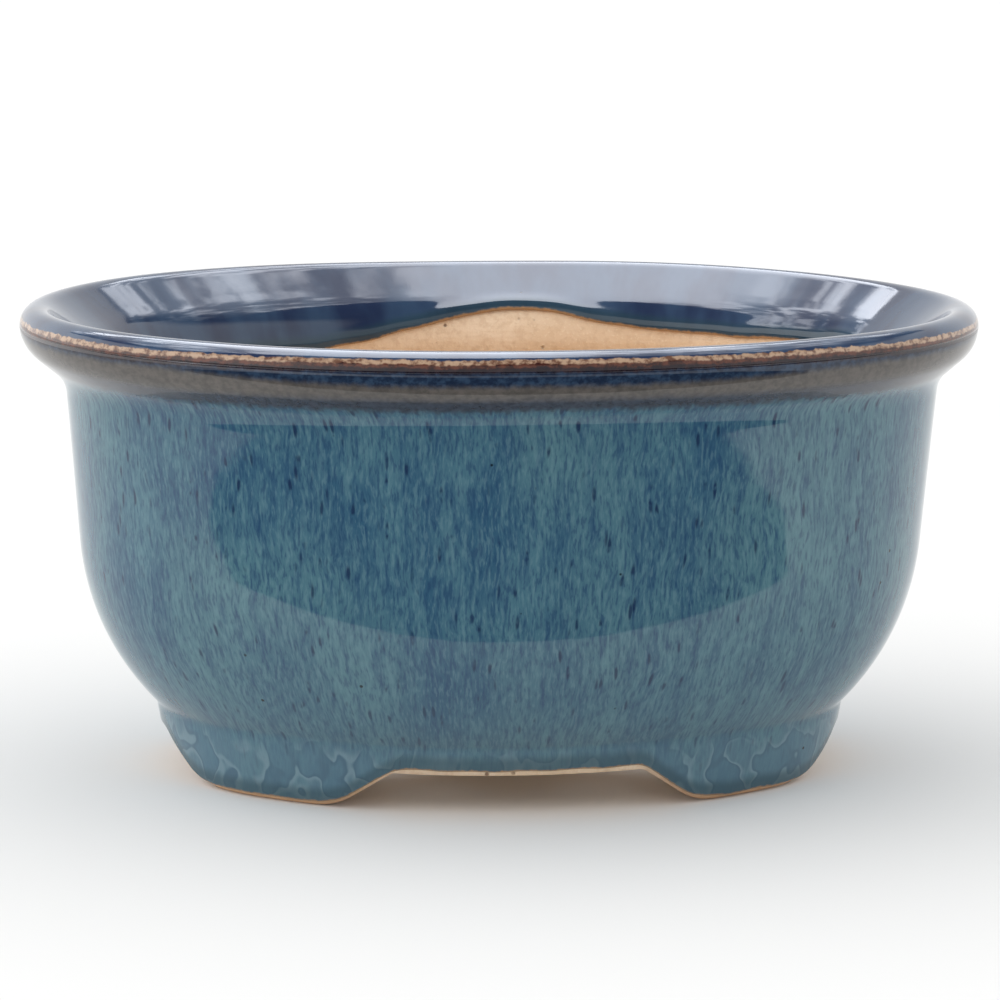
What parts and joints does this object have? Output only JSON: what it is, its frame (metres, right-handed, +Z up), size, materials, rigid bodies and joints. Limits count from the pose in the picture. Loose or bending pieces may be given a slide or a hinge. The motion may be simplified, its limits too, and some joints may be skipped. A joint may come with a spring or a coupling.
{
  "type": "bonsai pot",
  "caption": "Shallow oval glazed stoneware bonsai pot with a flared rolled lip, a full belly, a pinched waist and a cut foot ring with drain holes in the floor.",
  "frame": {"origin": "middle of the sole plane, below the centre of the oval", "axes": "+X along the pot's length, the front faces -Y, +Z up out of the bowl"},
  "size_m": [0.13, 0.105, 0.0634],
  "materials": {
    "stoneware": "bare fired buff stoneware, matt and slightly gritty",
    "outer_glaze": "glossy blue rutile glaze, streaked, breaking to brown on the lip's edge",
    "inner_glaze": "glossy dark blue glaze, pooled along its lower edge"
  },
  "bodies": {
    "root": {"wall": "stoneware", "lip_roll": "stoneware", "floor_slab": "stoneware", "foot_band": "stoneware", "foot_front_left": "stoneware", "foot_front_right": "stoneware", "foot_back_left": "stoneware", "foot_back_right": "stoneware", "outer_glaze": "outer_glaze", "inner_glaze": "inner_glaze"}
  },
  "joints": []
}
